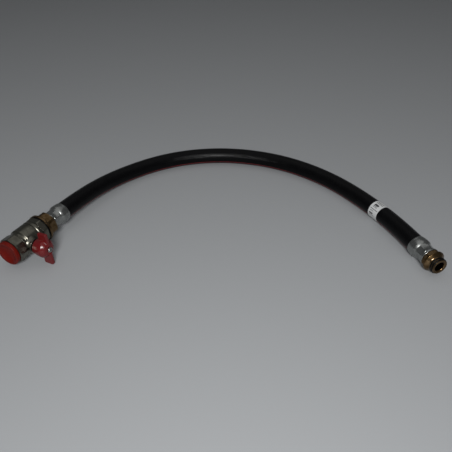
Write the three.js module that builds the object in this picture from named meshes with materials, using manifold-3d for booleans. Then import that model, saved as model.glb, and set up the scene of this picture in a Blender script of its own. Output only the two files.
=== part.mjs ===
// A heating connection hose, in millimetres, +Z up, lying on a table at z = 0.
// A rubber hose runs in a wide bow between two crimped ends. The left end carries a ball valve with
// a T-handle and a thread plug, the right end a spigot with two O-rings.
// +X runs from the valve end to the spigot end, and the bow reaches towards +Y.
// Each end is a group whose origin is the cut end of the hose and whose +X points away from the hose.

import * as THREE from "three";
import { mergeVertices } from "three/addons/utils/BufferGeometryUtils.js";
import Module from "manifold-3d";

// Clearance between pieces that fit together or touch, on the radius or on the length.
const fit = 0.3;
const roundSegments = 24;

// Hose: its centre line from the left cut end to the right cut end.
const hoseDiameter = 27;
const hoseBore = 19;
const hoseSides = 12;
const hoseSteps = 36;
const routePoints = [
  [-254.1, 32.2, 24.5],
  [-241.7, 58.2, 24.5],
  [-235.6, 71.2, 24.2],
  [-225.8, 91.8, 23.3],
  [-208.5, 125.4, 20.9],
  [-187.5, 158.8, 17.7],
  [-163.2, 187.9, 15],
  [-134.7, 212.5, 13.9],
  [-102.8, 231.8, 13.7],
  [-68.2, 245.4, 13.7],
  [-30.5, 253.2, 13.7],
  [6.7, 254.6, 13.7],
  [43.6, 249.9, 13.7],
  [79.4, 239.5, 13.7],
  [113.1, 223.9, 13.7],
  [144.3, 203.5, 13.7],
  [173.3, 178.1, 13.7],
  [198, 150.3, 13.7],
  [219.4, 119.8, 13.8],
  [237.8, 87.4, 14.4],
  [253.7, 53.7, 15.2],
  [267.8, 17.9, 15.9],
  [273.4, 1.5, 16.1],
  [277.9, -11.6, 16.2],
  [287.3, -39, 16.2],
];

// Paper label wrapped round the hose, placed by the distance of its middle from the left cut end.
const labelMiddle = 682.5;
const labelLength = 19.5;
const labelThickness = 0.3;

// Crimped ferrule: a steel sleeve with a thick rim, a crimped waist and a plain barrel.
const ferruleWall = 1;
const ferruleEndWall = 1.8;
const ferruleRimDiameter = 27.8;
const ferruleRimLength = 3;
const crimpDiameter = 24.6;
const crimpRidgeHeight = 0.45;
const crimpFlats = 8;
const crimpLength = 11;
const ferruleSlopeLength = 4;
const ferruleBarrelLength = 13.4;
const ferruleMouthTaper = 3.4;
const hoseEndGap = 0.6;

// Barbed tail inside the hose, the same on both nipples.
const nippleBore = 14;
const tailLength = 26;
const tailCoreDiameter = 17;
const tailNeckDiameter = 19.2;
const barbCount = 4;

// Spigot nipple of the right end.
const spigotHexAcrossFlats = 26.5;
const spigotHexLength = 6.2;
const spigotCollarDiameter = 32;
const spigotCollarThickness = 2.8;
const spigotDiameter = 22.4;
const spigotLandLength = 4.6;
const grooveWidth = 2.5;
const grooveRibThickness = 1;
const spigotTipLength = 0.9;
const spigotTipChamfer = 0.4;
const ringSection = 2.2;
const ringOuterDiameter = 23.3;

// Threaded nipple of the left end and its flat gasket.
const nippleHexAcrossFlats = 33;
const nippleHexLength = 14.8;
const nippleFlangeDiameter = 41.9;
const nippleFlangeThickness = 2.9;
const nippleThreadLength = 12;
const gasketDiameter = 39.2;
const gasketThickness = 1.2;
const hexRoll = 20;

// Ball valve. Lengths along the pipe are measured from the centre of the ball.
const valveRoll = 1.5;
const ballDiameter = 27.8;
const ballBore = 19.2;
const portDiameter = 20;
const seatWall = 2.4;
const seatWidth = 4.4;
const cavityDiameter = 29.2;
const housingDiameter = 40;
const housingToMouthSide = 6.5;
const housingToHoseSide = 14.7;
const neckDiameter = 35;
const neckLength = 3.5;
const beadDiameter = 37;
const beadLength = 1;
const mouthAcrossFlats = 37;
const mouthCornerDiameter = 39.6;
const mouthFlats = 8;
const mouthLength = 14;
const mouthThreadBore = 31.6;
const mouthThreadDepth = 11;
const jointDiameter = 33;
const jointLength = 6.7;
const tailSleeveLength = 6.2;
const tailCollarAcrossFlats = 38.8;
const tailCollarCornerDiameter = 41.6;
const tailCollarFlats = 8;
const tailCollarLength = 9.3;
const tailThreadBore = 32.6;
const tailThreadDepth = 11;

// Stem and gland, measured from the axis of the pipe.
const bossDiameter = 21;
const bossHeight = 22.5;
const stemDiameter = 9;
const stemFootDiameter = 13.2;
const stemFootHeight = 14.6;
const stemFootThickness = 2.3;
const stemTangWidth = 11;
const stemTangThickness = 4.4;
const stemTangDepth = 2.6;
const packingThickness = 1.8;
const packingDiameter = 15.2;
const glandHexAcrossFlats = 15.4;
const glandHexHeight = 2.4;
const stemFlatsDistance = 6.4;
const stemFlatsLength = 14;

// T-handle, measured from the axis of the pipe along the stem.
const hubBase = 25.6;
const hubBaseDiameter = 22.6;
const hubDiameter = 27;
const hubShoulder = 40;
const hubTop = 46.4;
const hubTopDiameter = 10.4;
const hubHollowDiameter = 19.4;
const wingSpan = 50.8;
const wingInner = 33;
const wingOuter = 47.8;
const wingThickness = 3.8;
const wingCornerRadius = 1.8;
const screwDiameter = 5;
const screwLength = 10;
const screwHeadDiameter = 7.8;
const screwHeadHeight = 2.3;
const driveWidth = 1.1;
const driveLength = 4.4;
const driveDepth = 1.2;

// Thread plug in the mouth of the valve.
const plugDiameter = 36;
const plugFlangeThickness = 5.6;
const plugDishDiameter = 30;
const plugDishDepth = 2.2;
const plugFloorThickness = 1.8;
const plugSkirtLength = 5;
const plugWall = 1.8;

// Sizes that follow from the ones above.
const hoseRadius = hoseDiameter / 2;
const flatShare = Math.cos(Math.PI / hoseSides);
const ferruleEnd = hoseEndGap + ferruleEndWall;
const crimpInnerRadius = crimpDiameter / 2 - ferruleWall;
const crimpStart = ferruleEnd - ferruleRimLength;
const crimpEnd = crimpStart - crimpLength;
const barrelStart = crimpEnd - ferruleSlopeLength;
const ferruleMouth = barrelStart - ferruleBarrelLength;
const barrelInnerRadius = hoseRadius + fit;
const barrelOuterRadius = barrelInnerRadius + ferruleWall;
const hexStart = ferruleEnd + fit;
const spigotCollarStart = hexStart + spigotHexLength;
const spigotStart = spigotCollarStart + spigotCollarThickness;
const rearGroove = spigotStart + spigotLandLength;
const frontGroove = rearGroove + grooveWidth + grooveRibThickness;
const spigotFace = frontGroove + grooveWidth + spigotTipLength;
const ringCentreRadius = (ringOuterDiameter - ringSection) / 2;
const grooveRadius = ringCentreRadius - ringSection / 2 - fit;
const nippleFlangeStart = hexStart + nippleHexLength;
const nippleSeat = nippleFlangeStart + nippleFlangeThickness;
const gasketStart = nippleSeat + fit;
const valveRearFace = gasketStart + gasketThickness + fit;
const tailFront = housingToHoseSide + fit;
const tailCollarStart = tailFront + tailSleeveLength;
const tailRear = tailCollarStart + tailCollarLength;
const ballFromCutEnd = valveRearFace + tailRear;
const neckEnd = housingToMouthSide + neckLength;
const beadEnd = neckEnd + beadLength;
const mouthStart = beadEnd + 0.5;
const mouthFace = mouthStart + mouthLength;
const ballRadius = ballDiameter / 2;
const seatBack = Math.sqrt(ballRadius ** 2 - (portDiameter / 2) ** 2) + fit + 1.5;
const seatFront = seatBack - seatWidth;
const seatOuterRadius = portDiameter / 2 + seatWall;
const pocketRadius = seatOuterRadius + fit;
const pocketFront = seatFront - fit;
const pocketBack = seatBack + fit;
const threadEnd = mouthFace - mouthThreadDepth;
const stemFootTop = stemFootHeight + stemFootThickness;
const packingFloor = stemFootTop + fit + 1.4;
const packingTop = packingFloor + fit + packingThickness;
const glandHexBase = bossHeight + fit;
const glandTop = glandHexBase + glandHexHeight;
const stemFlatsStart = glandTop + 5;
const stemTop = stemFlatsStart + stemFlatsLength;
const screwSeat = hubTop + fit;

const rubber = new THREE.MeshStandardMaterial({ color: 0x17191b, roughness: 0.6, metalness: 0 });
const paper = new THREE.MeshStandardMaterial({ color: 0xe6e6e2, roughness: 0.7, metalness: 0 });
const zinc = new THREE.MeshStandardMaterial({ color: 0xc9ccd0, roughness: 0.28, metalness: 1 });
const nickel = new THREE.MeshStandardMaterial({ color: 0xb9b7b0, roughness: 0.3, metalness: 1 });
const brass = new THREE.MeshStandardMaterial({ color: 0xc79a3f, roughness: 0.25, metalness: 1 });
const chrome = new THREE.MeshStandardMaterial({ color: 0xd8dadd, roughness: 0.08, metalness: 1 });
const seatPlastic = new THREE.MeshStandardMaterial({ color: 0xf0efe9, roughness: 0.5, metalness: 0 });
const redPlastic = new THREE.MeshStandardMaterial({ color: 0xb5141b, roughness: 0.35, metalness: 0 });
const blackRubber = new THREE.MeshStandardMaterial({ color: 0x101112, roughness: 0.5, metalness: 0 });

const wasm = await Module();
wasm.setup();

const radians = THREE.MathUtils.degToRad;

function solidOf(geometry) {
  const bare = geometry.clone();
  bare.deleteAttribute("normal");
  bare.deleteAttribute("uv");
  const merged = mergeVertices(bare, 1e-4);
  return new wasm.Manifold(
    new wasm.Mesh({
      numProp: 3,
      vertProperties: merged.attributes.position.array,
      triVerts: new Uint32Array(merged.index.array),
    }),
  );
}

function geometryOf(solid) {
  const mesh = solid.getMesh();
  const geometry = new THREE.BufferGeometry();
  geometry.setAttribute("position", new THREE.BufferAttribute(mesh.vertProperties, 3));
  geometry.setIndex(new THREE.BufferAttribute(mesh.triVerts, 1));
  const faceted = geometry.toNonIndexed();
  faceted.computeVertexNormals();
  return faceted;
}

// A closed outline of [height, radius] points turned about the Y axis, with its faces outwards.
function turnedOnStem(outline) {
  const points = outline.map(([height, radius]) => new THREE.Vector2(radius, height));
  if (THREE.ShapeUtils.area(points) < 0) {
    points.reverse();
  }
  return new THREE.LatheGeometry([...points, points[0]], roundSegments);
}

// The same about the X axis, which is the axis of the pipe.
function turnedOnPipe(outline) {
  return turnedOnStem(outline).rotateZ(-Math.PI / 2);
}

function shaftOnPipe(from, to, radius) {
  return turnedOnPipe([[from, 0], [from, radius], [to, radius], [to, 0]]);
}

function shaftOnStem(from, to, radius) {
  return turnedOnStem([[from, 0], [from, radius], [to, radius], [to, 0]]);
}

function polygon(sides, apothem, roll) {
  const corners = [];
  for (let i = 0; i < sides; i++) {
    const angle = roll + ((i + 0.5) * 2 * Math.PI) / sides;
    const radius = apothem / Math.cos(Math.PI / sides);
    corners.push(new THREE.Vector2(Math.cos(angle) * radius, Math.sin(angle) * radius));
  }
  return corners;
}

// A prism along X with its first flat turned by roll degrees from +Y.
function prismOnPipe(sides, acrossFlats, from, to, roll) {
  const shape = new THREE.Shape(polygon(sides, acrossFlats / 2, radians(roll)));
  const prism = new THREE.ExtrudeGeometry(shape, { depth: to - from, bevelEnabled: false });
  return prism.rotateY(Math.PI / 2).rotateX(Math.PI / 2).translate(from, 0, 0);
}

// A prism whose corners are turned down at both ends, as on a nut.
function nutOnPipe(sides, acrossFlats, cornerDiameter, from, to, roll) {
  const flat = acrossFlats / 2;
  const corner = cornerDiameter / 2;
  const turnedDown = (corner - flat + 0.2) * Math.tan(radians(30));
  const envelope = turnedOnPipe([
    [from, 0],
    [to, 0],
    [to, flat - 0.2],
    [to - turnedDown, corner],
    [from + turnedDown, corner],
    [from, flat - 0.2],
  ]);
  return solidOf(prismOnPipe(sides, acrossFlats, from, to, roll)).intersect(solidOf(envelope));
}

// A tube along a path. Its flats lie at the two given distances from the path.
function tubeAlong(path, steps, outerFlat, innerFlat) {
  const section = new THREE.Shape(polygon(hoseSides, outerFlat, 0));
  section.holes.push(new THREE.Path(polygon(hoseSides, innerFlat, 0).reverse()));
  return new THREE.ExtrudeGeometry(section, { steps, extrudePath: path, bevelEnabled: false });
}

function stretchOf(path, from, to, count) {
  const length = path.getLength();
  const points = [];
  for (let i = 0; i <= count; i++) {
    points.push(path.getPointAt((from + ((to - from) * i) / count) / length));
  }
  return new THREE.CatmullRomCurve3(points);
}

function meshOf(name, geometry, material) {
  const mesh = new THREE.Mesh(geometry, material);
  mesh.name = name;
  return mesh;
}

// The group at one end of the route, turned so that its +X continues the hose outwards.
function endGroup(cutEnd, inward) {
  const group = new THREE.Group();
  group.position.copy(cutEnd);
  group.rotation.z = Math.atan2(cutEnd.y - inward.y, cutEnd.x - inward.x);
  return group;
}

function ferruleGeometry() {
  const ridge = crimpDiameter / 2 + crimpRidgeHeight;
  const mouthOuter = barrelOuterRadius - 0.5;
  const sleeve = turnedOnPipe([
    [ferruleEnd, tailNeckDiameter / 2 + fit],
    [ferruleEnd, ferruleRimDiameter / 2 - 0.5],
    [ferruleEnd - 0.5, ferruleRimDiameter / 2],
    [crimpStart + 0.6, ferruleRimDiameter / 2],
    [crimpStart, ridge],
    [crimpEnd, ridge],
    [barrelStart, barrelOuterRadius],
    [ferruleMouth + ferruleMouthTaper, barrelOuterRadius],
    [ferruleMouth, mouthOuter],
    [ferruleMouth, barrelInnerRadius],
    [barrelStart, barrelInnerRadius],
    [crimpEnd, crimpInnerRadius],
    [hoseEndGap, crimpInnerRadius],
    [hoseEndGap, tailNeckDiameter / 2 + fit],
  ]);
  const around = new THREE.Shape(polygon(crimpFlats, barrelOuterRadius + 4, 0));
  around.holes.push(new THREE.Path(polygon(crimpFlats, crimpDiameter / 2, 0).reverse()));
  const jaws = new THREE.ExtrudeGeometry(around, { depth: crimpLength - 1, bevelEnabled: false })
    .rotateY(Math.PI / 2)
    .translate(crimpEnd + 0.5, 0, 0);
  return geometryOf(solidOf(sleeve).subtract(solidOf(jaws)));
}

// Outline points of the barbed tail, from the neck to its tip.
function barbedTail() {
  const top = hoseBore / 2 - fit;
  const core = tailCoreDiameter / 2;
  const pitch = (tailLength - 2) / barbCount;
  const points = [[-0.6, core]];
  for (let i = 0; i < barbCount; i++) {
    const heel = -1.6 - i * pitch;
    points.push([heel, core], [heel - 0.4, top], [heel - pitch + 0.6, core]);
  }
  points.push([-tailLength, core - 0.4]);
  return points;
}

function compressedHoseEnd() {
  const squeezed = crimpInnerRadius - fit;
  return turnedOnPipe([
    [0, hoseBore / 2],
    [0, squeezed - 0.6],
    [-0.6, squeezed],
    [crimpEnd + fit / 2, squeezed],
    [barrelStart + fit / 2, hoseRadius - 0.2],
    [barrelStart - 3, hoseRadius - 0.2],
    [barrelStart - 3, hoseBore / 2],
  ]);
}

const route = new THREE.CatmullRomCurve3(routePoints.map((point) => new THREE.Vector3(...point)));
const routeLength = route.getLength();
const tubeInset = -barrelStart + 1;
const leftEnd = endGroup(route.points.at(0), route.points.at(1));
const rightEnd = endGroup(route.points.at(-1), route.points.at(-2));

function placedSolid(geometry, group) {
  group.updateMatrix();
  return solidOf(geometry.applyMatrix4(group.matrix));
}

const tube = tubeAlong(
  stretchOf(route, tubeInset, routeLength - tubeInset, 60),
  hoseSteps,
  hoseRadius * flatShare,
  hoseBore / 2,
);
const hoseSolid = solidOf(tube)
  .add(placedSolid(compressedHoseEnd(), leftEnd))
  .add(placedSolid(compressedHoseEnd(), rightEnd));
const hose = meshOf("hose", geometryOf(hoseSolid), rubber);

const label = meshOf(
  "hose_label",
  tubeAlong(
    stretchOf(route, labelMiddle - labelLength / 2, labelMiddle + labelLength / 2, 4),
    3,
    (hoseRadius + fit + labelThickness) * flatShare,
    (hoseRadius + fit) * flatShare,
  ),
  paper,
);

function rightNippleGeometry() {
  const spigot = spigotDiameter / 2;
  const body = turnedOnPipe([
    ...barbedTail().reverse(),
    [fit, tailNeckDiameter / 2],
    [hexStart, tailNeckDiameter / 2],
    [hexStart, spigotHexAcrossFlats / 2 - 0.3],
    [spigotCollarStart, spigotHexAcrossFlats / 2 - 0.3],
    [spigotCollarStart, spigotCollarDiameter / 2 - 0.3],
    [spigotCollarStart + 0.3, spigotCollarDiameter / 2],
    [spigotStart - 0.3, spigotCollarDiameter / 2],
    [spigotStart, spigotCollarDiameter / 2 - 0.3],
    [spigotStart, spigot],
    [rearGroove, spigot],
    [rearGroove, grooveRadius],
    [rearGroove + grooveWidth, grooveRadius],
    [rearGroove + grooveWidth, spigot],
    [frontGroove, spigot],
    [frontGroove, grooveRadius],
    [frontGroove + grooveWidth, grooveRadius],
    [frontGroove + grooveWidth, spigot],
    [spigotFace - spigotTipChamfer, spigot],
    [spigotFace, spigot - spigotTipChamfer],
    [spigotFace, nippleBore / 2],
    [-tailLength, nippleBore / 2],
  ]);
  const hex = nutOnPipe(
    6,
    spigotHexAcrossFlats,
    spigotHexAcrossFlats * 1.12,
    hexStart,
    spigotCollarStart + 0.5,
    94,
  );
  const bore = solidOf(shaftOnPipe(hexStart - 1, spigotFace + 1, nippleBore / 2));
  return geometryOf(solidOf(body).add(hex.subtract(bore)));
}

function ringAt(centre) {
  return new THREE.TorusGeometry(ringCentreRadius, ringSection / 2, 8, roundSegments)
    .rotateY(Math.PI / 2)
    .translate(centre, 0, 0);
}

function leftNippleGeometry() {
  const thread = tailThreadBore / 2 - fit;
  const body = turnedOnPipe([
    ...barbedTail().reverse(),
    [fit, tailNeckDiameter / 2],
    [hexStart, tailNeckDiameter / 2],
    [hexStart, nippleHexAcrossFlats / 2 - 0.3],
    [nippleFlangeStart, nippleHexAcrossFlats / 2 - 0.3],
    [nippleFlangeStart, nippleFlangeDiameter / 2 - 0.4],
    [nippleFlangeStart + 0.4, nippleFlangeDiameter / 2],
    [nippleSeat - 0.4, nippleFlangeDiameter / 2],
    [nippleSeat, nippleFlangeDiameter / 2 - 0.4],
    [nippleSeat, thread],
    [nippleSeat + nippleThreadLength - 1, thread],
    [nippleSeat + nippleThreadLength, thread - 1],
    [nippleSeat + nippleThreadLength, nippleBore / 2],
    [-tailLength, nippleBore / 2],
  ]);
  const hex = nutOnPipe(
    6,
    nippleHexAcrossFlats,
    nippleHexAcrossFlats * 1.12,
    hexStart,
    nippleFlangeStart + 0.5,
    hexRoll,
  );
  const bore = solidOf(shaftOnPipe(hexStart - 1, nippleFlangeStart + 2, nippleBore / 2));
  return geometryOf(solidOf(body).add(hex.subtract(bore)));
}

function gasketGeometry() {
  return turnedOnPipe([
    [gasketStart, tailThreadBore / 2],
    [gasketStart + gasketThickness, tailThreadBore / 2],
    [gasketStart + gasketThickness, gasketDiameter / 2],
    [gasketStart, gasketDiameter / 2],
  ]);
}

function valveBodyGeometry() {
  const housing = housingDiameter / 2;
  const core = mouthAcrossFlats / 2 - 0.4;
  const shell = turnedOnPipe([
    [-housingToHoseSide, 0],
    [mouthFace, 0],
    [mouthFace, mouthAcrossFlats / 2 - 0.8],
    [mouthFace - 0.4, core],
    [mouthStart, core],
    [mouthStart, neckDiameter / 2],
    [beadEnd, neckDiameter / 2],
    [beadEnd - 0.1, beadDiameter / 2],
    [neckEnd + 0.1, beadDiameter / 2],
    [neckEnd, neckDiameter / 2],
    [housingToMouthSide, neckDiameter / 2],
    [housingToMouthSide - 1.5, housing],
    [-housingToHoseSide + 0.6, housing],
    [-housingToHoseSide, housing - 0.6],
  ]);
  const octagon = nutOnPipe(
    mouthFlats,
    mouthAcrossFlats,
    mouthCornerDiameter,
    mouthStart,
    mouthFace,
    180 / mouthFlats,
  );
  const boss = turnedOnStem([
    [cavityDiameter / 2 - 1, 0],
    [cavityDiameter / 2 - 1, bossDiameter / 2],
    [bossHeight - 0.8, bossDiameter / 2],
    [bossHeight, bossDiameter / 2 - 0.8],
    [bossHeight, 0],
  ]);
  const inside = turnedOnPipe([
    [-housingToHoseSide - 1, 0],
    [-housingToHoseSide - 1, jointDiameter / 2],
    [-housingToHoseSide + jointLength, jointDiameter / 2],
    [-housingToHoseSide + jointLength, cavityDiameter / 2],
    [pocketFront, cavityDiameter / 2],
    [pocketFront, pocketRadius],
    [pocketBack, pocketRadius],
    [pocketBack, portDiameter / 2],
    [threadEnd - 1.5, portDiameter / 2],
    [threadEnd, mouthThreadBore / 2],
    [mouthFace - 1, mouthThreadBore / 2],
    [mouthFace + 1, mouthThreadBore / 2 + 1],
    [mouthFace + 1, 0],
  ]);
  const glandHole = turnedOnStem([
    [ballRadius - 2, 0],
    [ballRadius - 2, stemFootDiameter / 2 + fit],
    [stemFootTop + fit, stemFootDiameter / 2 + fit],
    [stemFootTop + fit, stemDiameter / 2 + fit],
    [packingFloor, stemDiameter / 2 + fit],
    [packingFloor, packingDiameter / 2],
    [bossHeight + 1, packingDiameter / 2],
    [bossHeight + 1, 0],
  ]);
  return geometryOf(
    solidOf(shell).add(octagon).add(solidOf(boss)).subtract(solidOf(inside)).subtract(solidOf(glandHole)),
  );
}

function valveTailGeometry() {
  const joint = jointDiameter / 2 - fit;
  const nose = -housingToHoseSide + jointLength - fit;
  const collar = nutOnPipe(
    tailCollarFlats,
    tailCollarAcrossFlats,
    tailCollarCornerDiameter,
    -tailRear,
    -tailCollarStart,
    0,
  );
  const bore = shaftOnPipe(-tailRear - 1, -tailCollarStart + 1, tailThreadBore / 2 + 1);
  const sleeve = turnedOnPipe([
    [nose, pocketRadius],
    [nose, joint],
    [-tailFront, joint],
    [-tailFront, housingDiameter / 2 - 0.5],
    [-tailFront - 0.5, housingDiameter / 2],
    [-tailCollarStart - 0.5, housingDiameter / 2],
    [-tailCollarStart - 1, tailCollarAcrossFlats / 2 - 0.4],
    [-tailRear, tailCollarAcrossFlats / 2 - 0.4],
    [-tailRear, tailThreadBore / 2 + 0.8],
    [-tailRear + 0.8, tailThreadBore / 2],
    [-tailRear + tailThreadDepth, tailThreadBore / 2],
    [-tailRear + tailThreadDepth + 2, portDiameter / 2],
    [-pocketBack, portDiameter / 2],
    [-pocketBack, pocketRadius],
  ]);
  return geometryOf(solidOf(sleeve).add(collar.subtract(solidOf(bore))));
}

// A seat ring with a hollow that follows the ball, on the mouth side (+1) or the hose side (-1).
function seatGeometry(side) {
  const steps = 4;
  const inner = portDiameter / 2;
  const outer = seatOuterRadius;
  const near = ballRadius + fit;
  const outline = [[seatBack, outer], [seatBack, inner]];
  for (let i = 0; i <= steps; i++) {
    const radius = inner + ((outer - 0.4 - inner) * i) / steps;
    outline.push([Math.max(Math.sqrt(near ** 2 - radius ** 2), seatFront), radius]);
  }
  outline.push([seatFront, outer]);
  const ring = turnedOnPipe(outline);
  return side > 0 ? ring : ring.rotateY(Math.PI);
}

function ballGeometry() {
  const sphere = solidOf(new THREE.SphereGeometry(ballRadius, roundSegments, 16));
  const bore = shaftOnPipe(-ballRadius - 1, ballRadius + 1, ballBore / 2).rotateY(Math.PI / 2);
  const slotFloor = stemFootHeight - stemTangDepth - fit;
  const slot = new THREE.BoxGeometry(
    ballDiameter + 2,
    ballDiameter,
    stemTangThickness + 2 * fit,
  ).translate(0, slotFloor + ballRadius, 0);
  return geometryOf(sphere.subtract(solidOf(bore)).subtract(solidOf(slot)));
}

function stemGeometry() {
  const radius = stemDiameter / 2;
  const shaft = solidOf(turnedOnStem([
    [stemFootHeight, 0],
    [stemFootHeight, stemFootDiameter / 2],
    [stemFootTop, stemFootDiameter / 2],
    [stemFootTop, radius],
    [stemTop - 0.5, radius],
    [stemTop, radius - 0.5],
    [stemTop, 0],
  ]));
  const tang = new THREE.BoxGeometry(stemTangWidth, stemTangDepth + 1, stemTangThickness).translate(
    0,
    stemFootHeight - stemTangDepth / 2 + 0.5,
    0,
  );
  const hole = shaftOnStem(screwSeat - screwLength - 1, stemTop + 1, screwDiameter / 2 + fit);
  return geometryOf(
    shaft.add(solidOf(tang)).subtract(flatsCutter(stemFlatsDistance)).subtract(solidOf(hole)),
  );
}

// What the two flats at the top of the stem take away.
function flatsCutter(distance) {
  const height = stemFlatsLength + 20;
  const side = (sign) =>
    new THREE.BoxGeometry(10, height, stemDiameter * 2).translate(
      sign * (distance / 2 + 5),
      stemFlatsStart + height / 2,
      0,
    );
  return solidOf(side(1)).add(solidOf(side(-1)));
}

function packingGeometry() {
  const floor = packingFloor + fit;
  return turnedOnStem([
    [floor, stemDiameter / 2 + fit],
    [floor, packingDiameter / 2 - fit],
    [packingTop, packingDiameter / 2 - fit],
    [packingTop, stemDiameter / 2 + fit],
  ]);
}

function glandNutGeometry() {
  const sleeve = solidOf(shaftOnStem(packingTop + fit, glandHexBase + 0.2, packingDiameter / 2 - fit));
  const hex = nutOnPipe(
    6,
    glandHexAcrossFlats,
    glandHexAcrossFlats * 1.13,
    glandHexBase,
    glandTop,
    0,
  );
  const turn = new THREE.Matrix4().makeRotationZ(Math.PI / 2);
  const hole = solidOf(shaftOnStem(packingTop, glandTop + 1, stemDiameter / 2 + fit));
  return geometryOf(sleeve.add(hex.transform(turn.elements)).subtract(hole));
}

function roundedPlate(width, from, to, radius) {
  const half = width / 2;
  const plate = new THREE.Shape();
  plate.moveTo(-half + radius, from);
  plate.lineTo(half - radius, from);
  plate.absarc(half - radius, from + radius, radius, -Math.PI / 2, 0, false);
  plate.lineTo(half, to - radius);
  plate.absarc(half - radius, to - radius, radius, 0, Math.PI / 2, false);
  plate.lineTo(-half + radius, to);
  plate.absarc(-half + radius, to - radius, radius, Math.PI / 2, Math.PI, false);
  plate.lineTo(-half, from + radius);
  plate.absarc(-half + radius, from + radius, radius, Math.PI, Math.PI * 1.5, false);
  return plate;
}

function handleGeometry() {
  const bevel = 0.5;
  const hub = turnedOnStem([
    [hubBase, 0],
    [hubBase, hubBaseDiameter / 2],
    [hubShoulder, hubDiameter / 2],
    [hubShoulder + (hubTop - hubShoulder) * 0.45, hubDiameter / 2 - 1],
    [hubShoulder + (hubTop - hubShoulder) * 0.8, (hubDiameter + hubTopDiameter) / 4 + 0.8],
    [hubTop, hubTopDiameter / 2],
    [hubTop, 0],
  ]);
  const plate = roundedPlate(
    wingSpan - 2 * bevel,
    wingInner + bevel,
    wingOuter - bevel,
    wingCornerRadius - bevel,
  );
  const wings = new THREE.ExtrudeGeometry(plate, {
    depth: wingThickness - 2 * bevel,
    bevelThickness: bevel,
    bevelSize: bevel,
    bevelSegments: 1,
    curveSegments: 4,
  })
    .translate(0, 0, bevel - wingThickness / 2)
    .rotateY(Math.PI / 2);
  const hollow = shaftOnStem(hubBase - 1, stemFlatsStart + fit, hubHollowDiameter / 2);
  const keyed = solidOf(
    shaftOnStem(stemFlatsStart, stemTop + fit, stemDiameter / 2 + fit),
  ).subtract(flatsCutter(stemFlatsDistance + 2 * fit));
  const screwHole = shaftOnStem(stemTop, hubTop + 1, screwDiameter / 2 + fit);
  const headRoom = shaftOnStem(hubTop, wingOuter + 1, hubTopDiameter / 2);
  return geometryOf(
    solidOf(hub)
      .add(solidOf(wings))
      .subtract(solidOf(headRoom))
      .subtract(solidOf(hollow))
      .subtract(keyed)
      .subtract(solidOf(screwHole)),
  );
}

function screwGeometry() {
  const head = screwHeadDiameter / 2;
  const body = solidOf(turnedOnStem([
    [screwSeat - screwLength, 0],
    [screwSeat - screwLength, screwDiameter / 2 - 0.6],
    [screwSeat - screwLength + 0.8, screwDiameter / 2],
    [screwSeat, screwDiameter / 2],
    [screwSeat, head],
    [screwSeat + screwHeadHeight * 0.5, head],
    [screwSeat + screwHeadHeight * 0.85, head * 0.8],
    [screwSeat + screwHeadHeight, head * 0.45],
    [screwSeat + screwHeadHeight, 0],
  ]));
  const depth = screwSeat + screwHeadHeight - driveDepth;
  const slot = new THREE.BoxGeometry(driveLength, 4, driveWidth).translate(0, depth + 2, 0);
  const cross = solidOf(slot.clone()).add(solidOf(slot.rotateY(Math.PI / 2)));
  return geometryOf(body.subtract(cross));
}

function plugGeometry() {
  const rear = mouthFace + fit;
  const front = rear + plugFlangeThickness;
  const flange = plugDiameter / 2;
  const skirt = mouthThreadBore / 2 - fit;
  const floorFront = front - plugDishDepth;
  return turnedOnPipe([
    [floorFront, 0],
    [floorFront, plugDishDiameter / 2 - 1.5],
    [front - 0.4, plugDishDiameter / 2],
    [front, plugDishDiameter / 2 + 0.4],
    [front, flange - 0.8],
    [front - 0.8, flange],
    [rear + 0.5, flange],
    [rear, flange - 0.5],
    [rear, skirt],
    [rear - plugSkirtLength + 0.6, skirt],
    [rear - plugSkirtLength, skirt - 0.6],
    [rear - plugSkirtLength, skirt - plugWall],
    [floorFront - plugFloorThickness, skirt - plugWall],
    [floorFront - plugFloorThickness, 0],
  ]);
}

rightEnd.add(
  meshOf("right_ferrule", ferruleGeometry(), zinc),
  meshOf("right_nipple", rightNippleGeometry(), brass),
  meshOf("o_ring_rear", ringAt(rearGroove + grooveWidth / 2), blackRubber),
  meshOf("o_ring_front", ringAt(frontGroove + grooveWidth / 2), blackRubber),
);

// What turns with the stem. Its wings stand in line with the bore of the ball, here across the pipe.
const turning = new THREE.Group();
turning.add(
  meshOf("ball", ballGeometry(), chrome),
  meshOf("stem", stemGeometry(), brass),
  meshOf("handle", handleGeometry(), redPlastic),
  meshOf("handle_screw", screwGeometry(), zinc),
);

const valve = new THREE.Group();
valve.position.x = ballFromCutEnd;
valve.rotation.x = radians(valveRoll);
valve.add(
  meshOf("valve_body", valveBodyGeometry(), nickel),
  meshOf("valve_tail", valveTailGeometry(), nickel),
  meshOf("seat_ring_mouth_side", seatGeometry(1), seatPlastic),
  meshOf("seat_ring_hose_side", seatGeometry(-1), seatPlastic),
  meshOf("stem_packing", packingGeometry(), seatPlastic),
  meshOf("gland_nut", glandNutGeometry(), brass),
  meshOf("thread_plug", plugGeometry(), redPlastic),
  turning,
);

leftEnd.add(
  meshOf("left_ferrule", ferruleGeometry(), zinc),
  meshOf("left_nipple", leftNippleGeometry(), brass),
  meshOf("nipple_gasket", gasketGeometry(), blackRubber),
  valve,
);

const group = new THREE.Group();
group.add(hose, label, leftEnd, rightEnd);

export default group;
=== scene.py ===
# %% [markdown]
# # A flexible heating hose with a ball valve
# The real thing is a rubber hose of the kind that joins a boiler or a tank to its pipes. It lies on
# a pale table in a wide bow. Its ends are squeezed into bright steel sleeves. The left one carries
# a nickel-plated ball valve with a red T-handle and a red plug, the right one a brass spigot with
# two rings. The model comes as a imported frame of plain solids. This lesson dresses it: finer shapes
# where light shows the edges, and a material for each finish.

# %% Load the frame
import math

import bmesh
import bpy
from mathutils import Matrix, Vector


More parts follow.
